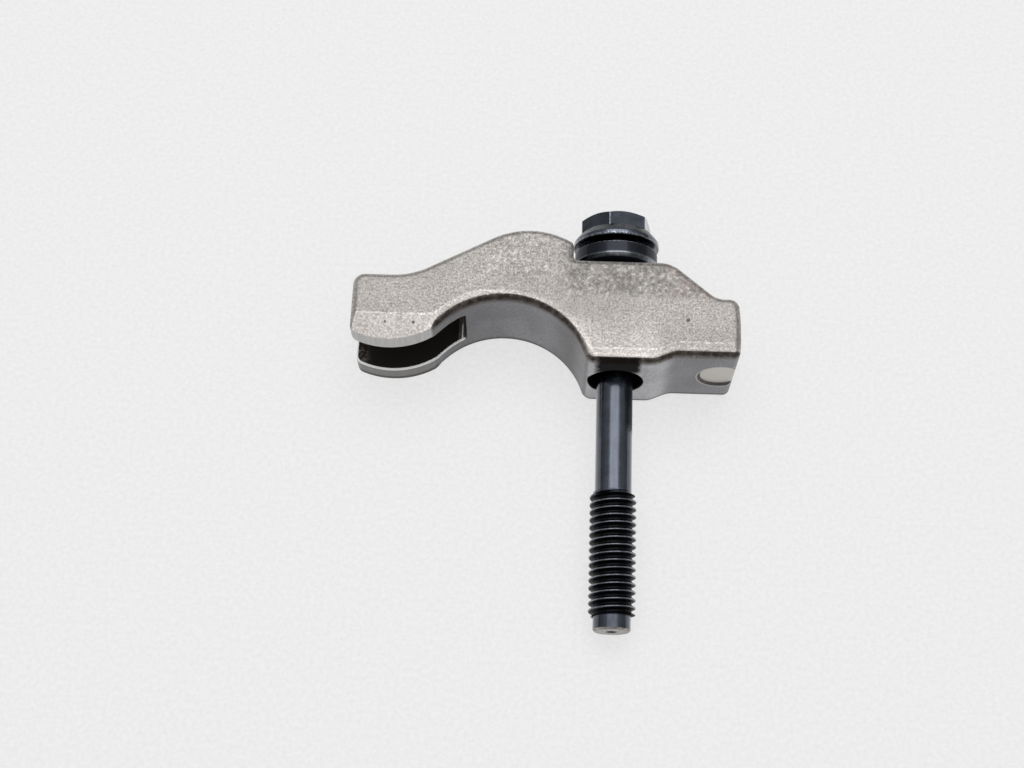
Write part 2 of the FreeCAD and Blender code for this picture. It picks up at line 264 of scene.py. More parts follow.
def new_material(name):
    """An empty node material with its output, and the tree to build in."""
    material = bpy.data.materials.new(name)
    material.use_nodes = True
    tree = material.node_tree
    tree.nodes.clear()
    return material, tree


def soft_product(tree, *factors):
    """Product of its factors. One given as a tuple is a soft step: a value, its two bounds and, unless
    they are 0 and 1, what it gives at them."""
    result = 1.0
    for factor in factors:
        if isinstance(factor, tuple):
            factor = add(tree, "ShaderNodeMapRange", *factor, interpolation_type="SMOOTHSTEP")
        result = add(tree, "ShaderNodeMath", result, factor, operation="MULTIPLY")
    return result


def claw_places(tree, grain_size):
    """What the claw's surface is worked out from: place in millimetres, facing, grains and blotches."""
    at = SimpleNamespace()
    place = add(tree, "ShaderNodeTexCoord")
    at.point = add(tree, "ShaderNodeVectorMath", place.outputs["Object"], named={"Scale": MILLIMETRES},
                   operation="SCALE")
    at.x, at.y, at.z = add(tree, "ShaderNodeSeparateXYZ", at.point).outputs
    facing = add(tree, "ShaderNodeSeparateXYZ", place.outputs["Normal"])
    at.face_y, at.face_z = facing.outputs[1], facing.outputs[2]
    from_middle = add(tree, "ShaderNodeMath", at.z, CLAW_MIDDLE, operation="SUBTRACT")
    at.off_mid = add(tree, "ShaderNodeMath", from_middle, operation="ABSOLUTE")
    at.depth = add(tree, "ShaderNodeMath", CLAW_MIDDLE, at.off_mid, operation="SUBTRACT")
    at.upright = add(tree, "ShaderNodeMath", at.face_z, operation="ABSOLUTE")
    at.side = soft_product(tree, (at.upright, 0.90, 0.985))
    at.wall = soft_product(tree, (at.upright, 0.30, 0.04))
    fine = 0.001 / grain_size
    at.grain = add(tree, "ShaderNodeTexNoise", at.point, named={
        "Scale": fine, "Detail": 2.0, "Roughness": 0.6}).outputs[0]
    at.coarse = add(tree, "ShaderNodeTexNoise", at.point, named={
        "Scale": 0.55 * fine, "Detail": 3.0, "Roughness": 0.6}).outputs[0]
    at.cloud = add(tree, "ShaderNodeTexNoise", at.point, named={
        "Scale": 0.16, "Detail": 3.0}).outputs[0]
    at.ragged = add(tree, "ShaderNodeTexNoise", at.point, named={
        "Scale": 0.9, "Detail": 4.0, "Roughness": 0.65}).outputs[0]
    off_mean = add(tree, "ShaderNodeMath", at.ragged, 0.5, operation="SUBTRACT")
    at.shift = add(tree, "ShaderNodeMath", off_mean, 1.6, operation="MULTIPLY")
    flat = add(tree, "ShaderNodeCombineXYZ", at.x, 0.0, at.z)
    at.from_dish = add(tree, "ShaderNodeVectorMath", flat, (DISH_REACH, 0.0, CLAW_MIDDLE),
                       operation="DISTANCE").outputs["Value"]
    at.from_bore = add(tree, "ShaderNodeVectorMath", flat, (0.0, 0.0, CLAW_MIDDLE),
                       operation="DISTANCE").outputs["Value"]
    return at


def over_lower_edge(tree, at):
    """How far a point of the side face lies from the arch, and from the flat lower edges beside it."""
    flat = add(tree, "ShaderNodeCombineXYZ", at.x, at.y, 0.0)
    from_arch = add(tree, "ShaderNodeVectorMath", flat, ARCH_CENTRE, operation="DISTANCE")
    over_arch = add(tree, "ShaderNodeMath", from_arch.outputs["Value"], ARCH_RADIUS,
                    operation="SUBTRACT")
    boss_foot = add(tree, "ShaderNodeMapRange", at.x, -22.0, -16.0, -6.4, -9.35)
    tail_lift = add(tree, "ShaderNodeMapRange", at.x, 6.0, 9.8, 0.0, 1.5)
    foot = add(tree, "ShaderNodeMath", boss_foot, tail_lift, operation="ADD")
    over_foot = add(tree, "ShaderNodeMath", at.y, foot, operation="SUBTRACT")
    return over_arch, over_foot


def forged_sides(tree, look, at):
    """Colour of the flat sides, and the heights that roughen them: grains that glint one by one, a
    rough darker upper boss, light veins on the crown, light specks painted as glints, and painted
    highlights on the flattened rim over the lower edge, near the lower edges, on the lower boss and
    along the upper edges."""
    uneven_y = add(tree, "ShaderNodeMath", at.y, at.shift, operation="ADD")
    rough_part = soft_product(tree, (uneven_y, 1.2, 4.2), (at.x, -12.0, -7.0))
    crown = soft_product(tree, (at.y, 3.0, 8.0), (at.x, -8.5, -12.0), (at.x, -27.0, -22.0))
    weak_crown = add(tree, "ShaderNodeMath", crown, 0.6, operation="MULTIPLY")
    at.uneven = add(tree, "ShaderNodeMath", rough_part, weak_crown, operation="MAXIMUM")
    coarseness = add(tree, "ShaderNodeMapRange", at.uneven, 0.0, 1.0, 0.3, 0.65)
    at.spread = add(tree, "ShaderNodeMix", coarseness, None, at.grain, at.coarse)
    contrast = add(tree, "ShaderNodeMapRange", at.uneven, 0.0, 1.0, 0.145, 0.085)
    lowest = add(tree, "ShaderNodeMath", 0.5, contrast, operation="SUBTRACT")
    highest = add(tree, "ShaderNodeMath", 0.5, contrast, operation="ADD")
    glint = add(tree, "ShaderNodeMapRange", at.spread, lowest, highest)
    steel = add(tree, "ShaderNodeMix", glint, data_type="RGBA", named={
        COLOUR_A: linear(look.dark_grain), COLOUR_B: linear(look.light_grain)})

    # Light veins on the crown, and light specks on every rough part that paint glints
    vein_at = add(tree, "ShaderNodeMapping", at.point, None, None, (1.1, 0.3, 0.3))
    vein_noise = add(tree, "ShaderNodeTexNoise", vein_at, named={
        "Scale": 1.0, "Detail": 3.0, "Roughness": 0.7})
    off_vein = add(tree, "ShaderNodeMath", vein_noise, 0.52, operation="SUBTRACT")
    off_vein = add(tree, "ShaderNodeMath", off_vein, operation="ABSOLUTE")
    vein = soft_product(tree, crown, (off_vein, 0.035, 0.0))
    speck = soft_product(tree, at.uneven, (at.coarse, 0.57, 0.66))

    # The flattened rim over the lower edge and the line where it starts, both painted as highlights, with
    # painted highlights near the lower edges, on the fork's rim and on the lower boss
    over_arch, over_foot = over_lower_edge(tree, at)
    over = add(tree, "ShaderNodeMath", over_arch, over_foot, operation="MINIMUM")
    arch_rim = add(tree, "ShaderNodeMapRange", at.x, -23.0, -19.0, 1.7, 0.8)
    foot_rim = add(tree, "ShaderNodeMapRange", at.x, -25.0, -15.0, 4.6, 2.3)
    past_arch = add(tree, "ShaderNodeMath", over_arch, arch_rim, operation="SUBTRACT")
    past_foot = add(tree, "ShaderNodeMath", over_foot, foot_rim, operation="SUBTRACT")
    rim_line = add(tree, "ShaderNodeMath", past_arch, past_foot, operation="MINIMUM")
    at.rim_line = add(tree, "ShaderNodeMath", at.shift, 0.45, rim_line, operation="MULTIPLY_ADD")
    rim = soft_product(tree, at.side, (at.rim_line, 0.12, -0.12))
    off_line = add(tree, "ShaderNodeMath", at.rim_line, operation="ABSOLUTE")
    crest = soft_product(tree, at.side, (off_line, 0.26, 0.06), (at.coarse, 0.3, 0.5))
    wavy = add(tree, "ShaderNodeMath", over, at.shift, operation="ADD")
    near_edge = soft_product(tree, (wavy, 2.0, 0.8), (at.x, -34.0, -30.0))
    fork_rim = soft_product(tree, rim, (at.x, -29.0, -32.0))
    low_boss = soft_product(tree, (at.y, 1.5, -7.5), (at.x, -9.0, -6.0), (at.x, 8.5, 6.0))

    # Painted highlight on the upper rounded edges
    upper_edge = soft_product(tree, (at.upright, 0.97, 0.85), (at.upright, 0.15, 0.4),
                              (at.face_y, -0.35, -0.05))

    # Fine upright scratches on the boss
    scratch_at = add(tree, "ShaderNodeMapping", at.point, None, None, (5.0, 0.12, 1.0))
    scratch_noise = add(tree, "ShaderNodeTexNoise", scratch_at, named={"Scale": 1.0, "Detail": 2.0})
    scratch = soft_product(
        tree, (scratch_noise, 0.56, 0.68), (at.x, -9.0, -7.5), (at.x, 1.0, -0.5),
        (at.y, 2.6, 1.0), (at.y, -7.5, -6.0))

    # Of these tones, the rim, the fork's rim, the crest, the upper edges, the near edges and the lower boss
    # are painted highlights, and the specks are painted glints
    tone = soft_product(
        tree,
        (at.cloud, 0.35, 0.65, 0.94, 1.05),
        (rough_part, 0.0, 1.0, 1.0, 0.74),
        (crown, 0.0, 1.0, 1.0, 0.93),
        (vein, 0.0, 1.0, 1.0, 1.3),
        (speck, 0.0, 1.0, 1.0, 1.3),
        (rim, 0.0, 1.0, 1.0, 1.13),
        (fork_rim, 0.0, 1.0, 1.0, 1.3),
        (crest, 0.0, 1.0, 1.0, 1.36),
        (upper_edge, 0.0, 1.0, 1.0, 1.6),
        (near_edge, 0.0, 1.0, 1.0, 1.32),
        (low_boss, 0.0, 1.0, 1.0, 1.28),
        (scratch, 0.0, 1.0, 1.0, 0.80))
    toned = add(tree, "ShaderNodeVectorMath", steel.outputs[MIXED], None, None, tone,
                operation="SCALE")
    flush = soft_product(tree, (at.x, 5.0, 9.0), (at.y, 1.0, 4.0), (at.ragged, 0.42, 0.62, 0.0, 0.25))
    return add(tree, "ShaderNodeMix", flush, data_type="RGBA", named={
        COLOUR_A: toned, COLOUR_B: linear("#A8948F")}).outputs[MIXED]


def forged_walls(tree, look, at):
    """Colour of the walls: painted shade in the arch, deeper towards the slot and where the bolt's shadow
    falls beside the boss, a painted reflection that brightens the boss's wall and the wall under it, and
    bright with fine grinding marks where the upper prong's rocker is ground, while painted shade darkens
    the lower prong's rocker."""
    under_boss = soft_product(tree, (at.y, -7.4, -9.0), (at.face_y, -0.6, -0.95))
    # Painted shade darkens the arch towards the slot and where the bolt's shadow falls near the boss;
    # painted reflection brightens the boss's wall and the wall under the boss
    tone = soft_product(
        tree,
        (at.x, -28.0, -14.0, 0.60, 0.92),
        (at.x, -12.0, -7.5, 1.0, 0.58),
        (at.x, -7.5, -5.5, 1.0, 1.5),
        (under_boss, 0.0, 1.0, 1.0, 2.2),
        (at.grain, 0.35, 0.65, 0.86, 1.12),
        (at.cloud, 0.35, 0.65, 0.90, 1.08))
    walled = add(tree, "ShaderNodeVectorMath", linear(look.wall_colour)[:3], None, None, tone,
                 operation="SCALE")
    at.on_rocker = soft_product(tree, (at.x, -30.4, -31.0), (at.face_y, 0.0, -0.3))
    mark_at = add(tree, "ShaderNodeMapping", at.point, None, None, (4.0, 4.0, 0.15))
    mark = add(tree, "ShaderNodeTexNoise", mark_at, named={"Scale": 1.0, "Detail": 2.0})
    # Painted shade darkens the lower prong's rocker
    ground_tone = soft_product(tree, (mark, 0.3, 0.7, 0.9, 1.08), (at.z, 9.0, 8.0, 1.0, 0.42))
    ground = add(tree, "ShaderNodeVectorMath", linear(look.ground_colour)[:3], None, None, ground_tone,
                 operation="SCALE")
    return add(tree, "ShaderNodeMix", at.on_rocker, data_type="RGBA", named={
        COLOUR_A: walled, COLOUR_B: ground}).outputs[MIXED]


def claw_stains(tree, look, at):
    """What lies over the steel, as shares with their colours: scale with a painted dark reflection on the
    rounded edges, painted contact shade on the lower edge, the dish with painted shade on its bevel and a
    painted highlight round it, old grease with painted shade in the slot and the bore, a painted highlight
    on the slot's mouth edge, and three small pits."""
    torn = add(tree, "ShaderNodeMapRange", at.coarse, 0.0, 1.0, -0.3, 0.3)
    narrowed = soft_product(tree, (at.x, -12.0, -4.0, 0.0, 0.4))
    inward = add(tree, "ShaderNodeMath", at.depth, torn, operation="ADD")
    inward = add(tree, "ShaderNodeMath", inward, narrowed, operation="ADD")
    tail_end = soft_product(tree, (at.x, 18.4, 19.6), (at.ragged, 0.35, 0.6, 0.08, 0.32))
    low_side = soft_product(tree, (at.face_y, -0.02, -0.45, 0.03, 1.0))
    amount = add(tree, "ShaderNodeMath", low_side, tail_end, operation="MAXIMUM")
    # Forging scale on the rounded edges and the tail's end; on edges facing -Y it also paints their dark
    # reflection of the room
    scaled = soft_product(
        tree, amount, (inward, 0.0, 0.10), (inward, 2.3, 0.6), (at.side, 1.0, 0.0),
        (at.on_rocker, 1.0, 0.0), (at.ragged, 0.4, 0.65, 1.0, 0.82))
    # Painted contact shade along the lower rounded edge next to the floor
    painted_contact_shade = soft_product(tree, (at.z, 1.5, 1.05), (at.face_y, -0.1, -0.4, 0.0, 0.85))

    # Dish under the tail: pale floor, painted shade on its bevel and a fine painted highlight line round
    # its rim
    at_dish = soft_product(tree, (at.y, -6.2, -6.6), (at.x, 12.0, 13.0), (at.face_y, -0.2, -0.4))
    dish_floor = soft_product(tree, at_dish, (at.from_dish, DISH_FLOOR + 0.05, DISH_FLOOR - 0.05, 0.0, 0.9))
    dish_bevel = soft_product(
        tree, at_dish, (at.from_dish, DISH_FLOOR - 0.05, DISH_FLOOR + 0.05),
        (at.from_dish, DISH_RIM + 0.05, DISH_RIM - 0.05, 0.0, 0.8))
    dish_line = soft_product(
        tree, at_dish, (at.from_dish, DISH_RIM - 0.05, DISH_RIM + 0.05),
        (at.from_dish, DISH_RIM + 0.3, DISH_RIM + 0.15, 0.0, 0.6))

    # Old grease with painted shade in the slot, left off at its end corner and near the tip where light
    # reaches in
    corner_strip = soft_product(tree, (at.x, -27.0, -26.8), (at.z, 5.4, 4.9, 0.0, 0.3))
    near_tip = soft_product(tree, (at.x, -41.0, -43.5), (at.ragged, 0.4, 0.62, 0.0, 0.35))
    reached_by_light = add(tree, "ShaderNodeMath", corner_strip, near_tip, operation="MAXIMUM")
    slot_grease_and_shade = soft_product(tree, (at.off_mid, 4.50, 4.42), (at.x, SLOT_END + 0.1, SLOT_END - 0.1),
                               (reached_by_light, 1.0, 0.0))

    # Grease with painted shade in the bore, and over the wall above it
    bore_grease_and_shade = soft_product(tree, (at.from_bore, BORE_RADIUS + 0.3, BORE_RADIUS + 0.1))
    beside = add(tree, "ShaderNodeMath", at.x, 0.2, operation="SUBTRACT")
    beside = add(tree, "ShaderNodeMath", beside, operation="ABSOLUTE")
    beside = add(tree, "ShaderNodeMath", at.shift, 0.8, beside, operation="MULTIPLY_ADD")
    smear = soft_product(tree, (beside, 4.0, 3.0), (at.z, 11.5, 13.0), (at.face_y, -0.2, -0.6),
                         (at.y, -7.6, -8.4, 0.0, 0.96))
    bore_grease_and_shade = add(tree, "ShaderNodeMath", bore_grease_and_shade, smear, operation="MAXIMUM")
    at.greasy = add(tree, "ShaderNodeMath", bore_grease_and_shade, slot_grease_and_shade, operation="MAXIMUM")

    # Painted highlight on the slot's lower mouth edge
    off_mouth = add(tree, "ShaderNodeMath", at.z, LOWER_MOUTH, operation="SUBTRACT")
    off_mouth = add(tree, "ShaderNodeMath", off_mouth, operation="ABSOLUTE")
    at.rubbed = soft_product(tree, (off_mouth, 0.36, 0.26), (at.face_z, 0.05, 0.2),
                             (at.face_z, 0.99, 0.92), (at.x, SLOT_END - 0.1, SLOT_END - 0.3),
                             (at.y, 3.0, 2.0))
    stains = [
        (scaled, look.scale_and_shade_colour),
        (painted_contact_shade, look.scale_and_shade_colour),
        (dish_floor, "#CCC8C2"),
        (dish_bevel, "#3A3734"),
        (dish_line, "#C9C6C1"),
        (slot_grease_and_shade, look.slot_grease_and_shade),
        (bore_grease_and_shade, look.grease),
        (at.rubbed, "#FFFFFF"),
    ]
    for pit_x, pit_y, radius in PITS:
        spot = add(tree, "ShaderNodeCombineXYZ", at.x, at.y, 0.0)
        away = add(tree, "ShaderNodeVectorMath", spot, (pit_x, pit_y, 0.0), operation="DISTANCE")
        edge = add(tree, "ShaderNodeMath", at.shift, 0.4, away.outputs["Value"], operation="MULTIPLY_ADD")
        pit = soft_product(tree, (edge, radius + 0.08, radius - 0.08), (at.z, 15.0, 16.0, 0.0, 0.8))
        stains.append((pit, "#2E2B29"))
    return stains


def forged_steel(look):
    """Hot-forged carbon steel, shot-blasted and tumbled: warm grey with grains of 0.2 to 0.5 mm that
    glint one by one, dark scale with a painted dark reflection on the rounded edges, painted highlights
    over the lower edges, smoother walls with painted shade and reflection, a ground rocker, and old
    grease with painted shade in the slot and the bore. Scale and dirt leave it duller than clean metal."""
    material, tree = new_material("forged_steel_shot_blasted")
    at = claw_places(tree, look.grain_size)
    sides = forged_sides(tree, look, at)
    walls = forged_walls(tree, look, at)
    surface = add(tree, "ShaderNodeMix", at.wall, data_type="RGBA", named={
        COLOUR_A: sides, COLOUR_B: walls}).outputs[MIXED]
    for share, colour in claw_stains(tree, look, at):
        surface = add(tree, "ShaderNodeMix", share, data_type="RGBA", named={
            COLOUR_A: surface, COLOUR_B: linear(colour)}).outputs[MIXED]
    metal = soft_product(tree, (at.wall, 0.0, 1.0, look.side_metal, look.wall_metal),
                         (at.rubbed, 0.0, 1.0, 1.0, 0.15), (at.greasy, 0.0, 1.0, 1.0, 0.0))
    rough = add(tree, "ShaderNodeMapRange", at.spread, 0.3, 0.7, 0.52, 0.38)
    rough = add(tree, "ShaderNodeMix", at.wall, None, rough, 0.38)
    rough = add(tree, "ShaderNodeMix", at.greasy, None, rough, 0.95)
    gloss = soft_product(tree, (at.greasy, 0.0, 1.0, 0.5, 0.05))
    relief = soft_product(tree, at.side, (at.uneven, 0.0, 1.0, 0.35, 0.9))
    relief = add(tree, "ShaderNodeMath", relief, 0.15, operation="ADD")
    bump = add(tree, "ShaderNodeBump", relief, 0.00004, named={"Height": at.spread})
    below = add(tree, "ShaderNodeMath", at.rim_line, 0.0, operation="MINIMUM")
    slope = add(tree, "ShaderNodeMath", below, 0.00009, operation="MULTIPLY")
    leaned = add(tree, "ShaderNodeBump", at.side, 1.0, named={"Height": slope, "Normal": bump})
    shader = add(tree, "ShaderNodeBsdfPrincipled", named={
        "Base Color": surface, "Metallic": metal, "Roughness": rough, "Normal": leaned,
        "Specular IOR Level": gloss})
    add(tree, "ShaderNodeOutputMaterial", shader)
    return material


def blackened_steel(name, look):
    """Black-oxided steel with a film of oil: blue-black and glossy, with streaks drawn along the shank.
    The thread's flanks are blacker with oil and painted shade, the washer's rim is blacker, painted shade
    lies under the washer, and the lower shank's right side and the head's slope are darker in places.
    Painted highlights lie on the crests, the washer's top edge and the flange's rim, a painted highlight
    with wear on the washer's lower edge, and pale specks on the head's slope."""
    material, tree = new_material(name)
    place = add(tree, "ShaderNodeTexCoord")
    turn = BOLT_AXIS.to_track_quat("Z", "X").inverted().to_euler()
    shifted = add(tree, "ShaderNodeVectorMath", place.outputs["Object"], tuple(FLANGE_CENTRE),
                  operation="SUBTRACT")
    scaled = add(tree, "ShaderNodeVectorMath", shifted, named={"Scale": MILLIMETRES}, operation="SCALE")
    local = add(tree, "ShaderNodeMapping", scaled, (0.0, 0.0, 0.0), tuple(turn), vector_type="POINT")
    side_x, side_y, height = add(tree, "ShaderNodeSeparateXYZ", local).outputs
    streak_at = add(tree, "ShaderNodeMapping", local, None, None, (3.2, 3.2, 0.16))
    streak = add(tree, "ShaderNodeTexNoise", streak_at, named={"Scale": 1.0, "Detail": 3.0})
    blotch = add(tree, "ShaderNodeTexNoise", local, named={
        "Scale": 0.45, "Detail": 4.0, "Roughness": 0.62})
    speck = add(tree, "ShaderNodeTexNoise", local, named={
        "Scale": 2.6, "Detail": 3.0, "Roughness": 0.6})
    across = add(tree, "ShaderNodeCombineXYZ", side_x, side_y, 0.0)
    radius = add(tree, "ShaderNodeVectorMath", across, operation="LENGTH").outputs["Value"]

    # Where it is blacker: oil with painted shade in the thread's roots, painted shade under the washer,
    # darker oxide on the washer's rim, and darker places down the shank's right side and on the head's
    # slope
    on_thread = soft_product(tree, (height, -43.5, -44.1), (height, -64.3, -63.6))
    right = add(tree, "ShaderNodeSeparateXYZ", scaled).outputs[0]
    frayed = add(tree, "ShaderNodeMath", speck, 5.0, height, operation="MULTIPLY_ADD")
    darkened = [
        soft_product(tree, on_thread, (radius, 3.86, 3.70)),
        soft_product(tree, (right, 1.3, 2.2), (frayed, -31.5, -29.5), (height, -20.0, -21.0, 0.0, 0.9)),
        soft_product(tree, (height, -3.70, -3.85), (height, -7.5, -7.0, 0.0, 0.9)),
        soft_product(tree, (height, -1.1, -1.3), (height, -3.1, -2.9), (radius, 6.8, 6.95, 0.0, 0.75)),
        soft_product(tree, (height, 0.8, 1.1), (height, 2.6, 2.4), (blotch, 0.3, 0.7, 0.75, 0.4)),
    ]
    dull = 0.0
    for share in darkened:
        dull = add(tree, "ShaderNodeMath", dull, share, operation="MAXIMUM")

    # Where it is paler: painted highlights on the crests, the washer's top edge and the flange's rim, a
    # painted highlight with wear on the washer's lower edge, and pale specks on the head's slope
    rubbed = [
        soft_product(tree, on_thread, (radius, 3.80, 3.88, 0.0, 0.5)),
        soft_product(tree, (height, -1.3, -1.15), (height, -0.9, -1.0), (radius, 6.7, 6.85),
                     (speck, 0.45, 0.6, 0.0, 0.8)),
        soft_product(tree, (height, -0.05, 0.1), (height, 0.5, 0.35), (radius, 7.1, 7.25),
                     (speck, 0.42, 0.6, 0.0, 0.8)),
        soft_product(tree, (height, 0.7, 1.0), (height, 2.6, 2.3), (speck, 0.52, 0.66, 0.0, 0.25)),
        soft_product(tree, (height, -3.12, -3.28), (height, -3.85, -3.6), (radius, 6.3, 6.6),
                     (speck, 0.3, 0.6, 0.5, 0.95)),
    ]
    worn = 0.0
    for share in rubbed:
        worn = add(tree, "ShaderNodeMath", worn, share, operation="MAXIMUM")

    base = linear(look.oxide)
    for share, colour in ((dull, look.groove), (worn, look.worn)):
        base = add(tree, "ShaderNodeMix", share, data_type="RGBA", named={
            COLOUR_A: base, COLOUR_B: linear(colour)}).outputs[MIXED]
    tone = soft_product(tree, (blotch, 0.3, 0.7, 0.8, 1.22), (streak, 0.3, 0.7, 0.88, 1.12))
    toned = add(tree, "ShaderNodeVectorMath", base, None, None, tone, operation="SCALE")
    rough = add(tree, "ShaderNodeMapRange", blotch, 0.3, 0.7, 0.17, 0.32)
    rough = add(tree, "ShaderNodeMix", dull, None, rough, 0.6)
    film = soft_product(tree, (dull, 0.0, 1.0, 1.0, 0.15))
    bump = add(tree, "ShaderNodeBump", 0.4, 0.00001, named={"Height": streak})
    shader = add(tree, "ShaderNodeBsdfPrincipled", named={
        "Base Color": toned, "Metallic": 1.0, "Roughness": rough, "Normal": bump,
        "Coat Weight": film, "Coat Roughness": 0.1})
    add(tree, "ShaderNodeOutputMaterial", shader)
    return material


def bare_steel(name, colour, roughness):
    """Steel with its coating worn or cut away: paler, with fine turning marks."""
    material, tree = new_material(name)
    place = add(tree, "ShaderNodeTexCoord")
    mark = add(tree, "ShaderNodeTexNoise", place.outputs["Object"], named={
        "Scale": 2600.0, "Detail": 3.0, "Roughness": 0.6})
    tone = add(tree, "ShaderNodeMapRange", mark, 0.35, 0.65, 0.45, 1.15)
    toned = add(tree, "ShaderNodeVectorMath", linear(colour)[:3], None, None, tone, operation="SCALE")
    bump = add(tree, "ShaderNodeBump", 0.3, 0.00001, named={"Height": mark})
    shader = add(tree, "ShaderNodeBsdfPrincipled", named={
        "Base Color": toned.outputs[0], "Metallic": 1.0, "Roughness": roughness, "Normal": bump})
    add(tree, "ShaderNodeOutputMaterial", shader)
    return material


def deselect():
    """Selects nothing, because an operator acts on all that is selected."""
    bpy.ops.object.select_all(action="DESELECT")


def edit(made):
    """Opens this one object in edit mode with all of it selected."""
    deselect()
    made.select_set(True)
    bpy.context.view_layer.objects.active = made
    bpy.ops.object.mode_set(mode="EDIT")
    bpy.ops.mesh.select_all(action="SELECT")


def done():
    """Goes back to object mode."""
    bpy.ops.object.mode_set(mode="OBJECT")


def draw_line(name, corners):
    """Draws a line of edges by extruding one vertex from corner to corner, given as radius and height."""
    deselect()
    bpy.ops.mesh.primitive_plane_add(size=0.001)
    made = bpy.context.object
    made.name = name
    edit(made)
    bpy.ops.mesh.merge(type="CENTER")
    at = Vector((corners[0][0], 0.0, corners[0][1]))
    bpy.ops.transform.translate(value=at)
    for radius, height in corners[1:]:
        to = Vector((radius, 0.0, height))
        bpy.ops.mesh.extrude_vertices_move(TRANSFORM_OT_translate={"value": to - at})
        at = to
    done()
    return made


def round_corner(made, radius, height, offset, segments):
    """Rounds the drawn line's corner at this place."""
    edit(made)
    bpy.ops.mesh.select_all(action="DESELECT")
    done()
    for vertex in made.data.vertices:
        vertex.select = (vertex.co - Vector((radius, 0.0, height))).length < 0.00001
    bpy.ops.object.mode_set(mode="EDIT")
    bpy.ops.mesh.bevel(offset=offset, offset_type="OFFSET", segments=segments, affect="VERTICES")
    done()


def spin(made, steps):
    """Spins the drawn line about Z into a closed skin that faces outwards."""
    edit(made)
    bpy.ops.mesh.spin(steps=steps, angle=2 * math.pi, center=(0, 0, 0), axis=(0, 0, 1))
    bpy.ops.mesh.select_all(action="SELECT")
    bpy.ops.mesh.remove_doubles(threshold=0.000002)
    bpy.ops.mesh.normals_make_consistent(inside=False)
    done()
    return made


def combine(made, other, operation):
    """Joins or trims with another closed piece, which is used up."""
    deselect()
    made.select_set(True)
    bpy.context.view_layer.objects.active = made
    tool = made.modifiers.new("with " + other.name, "BOOLEAN")
    tool.operation = operation
    tool.solver = "EXACT"
    tool.object = other
    bpy.ops.object.modifier_apply(modifier=tool.name)
    bpy.data.objects.remove(other)
    return made


def screw_thread(shape):
    """One pitch of the thread's outline, screwed past both ends and cut off square."""
    crest, root = shape.crest_diameter / 2, shape.root_diameter / 2
    flank = (crest - root) * math.tan(math.radians(30))
    land = shape.pitch / 8
    floor = shape.pitch - land - 2 * flank
    turns = math.ceil(shape.thread_length / shape.pitch) + 3
    start = -(shape.length - shape.dog_length) - 2 * shape.pitch - floor / 2
    made = draw_line("thread", [
        (root, start),
        (root, start + floor),
        (crest, start + floor + flank),
        (crest, start + floor + flank + land),
        (root, start + floor + 2 * flank + land),
    ])
    round_corner(made, root, start + floor, floor / 3, 2)
    round_corner(made, crest, start + floor + flank, land / 3, 1)
    round_corner(made, crest, start + floor + flank + land, land / 3, 1)
    sweep = made.modifiers.new("screw", "SCREW")
    sweep.axis = "Z"
    sweep.screw_offset = shape.pitch
    sweep.iterations = turns
    sweep.steps = THREAD_STEPS
    sweep.render_steps = THREAD_STEPS
    deselect()
    made.select_set(True)
    bpy.context.view_layer.objects.active = made
    bpy.ops.object.modifier_apply(modifier=sweep.name)
    edit(made)
    bpy.ops.mesh.remove_doubles(threshold=0.000004)
    bpy.ops.mesh.bisect(plane_co=(0, 0, start + 1.5 * shape.pitch), plane_no=(0, 0, -1),
                        use_fill=True, clear_outer=True)
    bpy.ops.mesh.select_all(action="SELECT")
    bpy.ops.mesh.bisect(plane_co=(0, 0, start + (turns - 0.5) * shape.pitch), plane_no=(0, 0, 1),
                        use_fill=True, clear_outer=True)
    bpy.ops.mesh.select_all(action="SELECT")
    bpy.ops.mesh.normals_make_consistent(inside=False)
    done()
    return made


def thread_limits(shape):
    """The turned blank that the thread is rolled on: shoulder cone, full diameter, end chamfer."""
    shank, crest, dog = shape.shank_diameter / 2, shape.crest_diameter / 2, shape.dog_diameter / 2
    end = -(shape.length - shape.dog_length)
    top = end + shape.thread_length
    return spin(draw_line("blank", [
        (0, top),
        (shank, top),
        (crest, top - shape.shoulder_length),
        (crest, end + crest - dog),
        (dog, end),
        (0, end),
    ]), TURNED_STEPS)


def turned_body(shape):
    """Flange, waisted shank, the core under the thread, and the point with its centre hole."""
    shank, dog = shape.shank_diameter / 2, shape.dog_diameter / 2
    core = shape.root_diameter / 2 - CORE_CLEARANCE
    rim = shape.flange_diameter / 2
    end = -(shape.length - shape.dog_length)
    top = end + shape.thread_length
    made = draw_line("body", [
        (0, shape.flange_height),
        (shape.flange_crown_diameter / 2, shape.flange_height),
        (rim, shape.flange_rim),
        (rim, 0),
        (shank, 0),
        (shank, top),
        (core, top - 0.0002),
        (core, end + 0.0004),
        (dog, end + 0.0002),
        (dog, -shape.length + POINT_CHAMFER),
        (dog - POINT_CHAMFER, -shape.length),
        (HOLE_RADIUS, -shape.length),
        (0, -shape.length + HOLE_DEPTH),
    ])
    round_corner(made, rim, shape.flange_rim, RIM_TOP_ROUND, 3)
    round_corner(made, rim, 0, RIM_FOOT_ROUND, 3)
    round_corner(made, shank, 0, HEAD_FILLET, 4)
    return spin(made, TURNED_STEPS)


